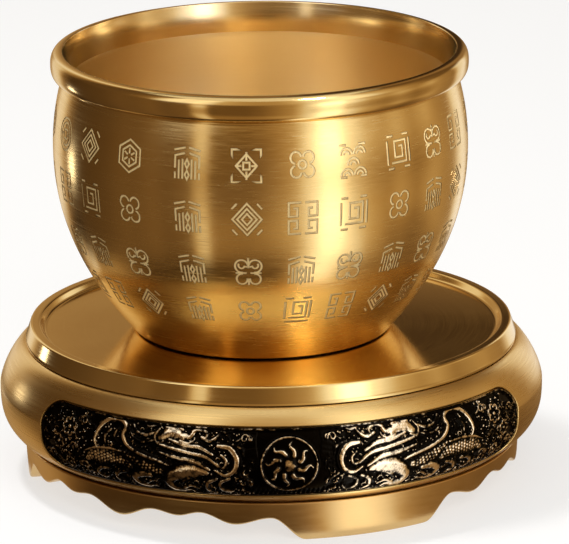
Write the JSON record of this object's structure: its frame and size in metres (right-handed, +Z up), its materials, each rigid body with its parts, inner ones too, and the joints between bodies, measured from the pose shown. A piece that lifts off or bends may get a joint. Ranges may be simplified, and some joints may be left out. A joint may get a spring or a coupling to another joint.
{
  "type": "brass bowl on a stand",
  "caption": "Turned brass bowl with a beaded rim, standing loose in a shallow dish on a bulbous stand with relief plaques and a scalloped apron with feet.",
  "frame": {"origin": "centre of the stand's footprint on the table: the stand's axis at the plane that the feet stand on", "axes": "+Z up along the stand's axis; -Y is the front, with one cartouche turned 3.5 degrees towards +X; +X is the viewer's right"},
  "size_m": [0.15, 0.1498, 0.1195],
  "materials": {
    "brushed_brass": "turned and brushed round the axis, with engraved marks",
    "polished_brass": "polished",
    "satin_brass": "satin, brushed round the axis",
    "blackened_brass": "cast relief, blackened, with the high places rubbed bright"
  },
  "bodies": {
    "stand": {"apron_ring": "satin_brass", "drum": "satin_brass", "dish": "polished_brass", "plaque_front": "blackened_brass", "plaque_back": "blackened_brass"},
    "bowl": {"bowl": "brushed_brass"}
  },
  "joints": [
    {"name": "bowl_lift", "type": "slide", "parent": "stand", "child": "bowl", "axis": [0, 0, 1], "range_m": [0, 0.12]}
  ]
}
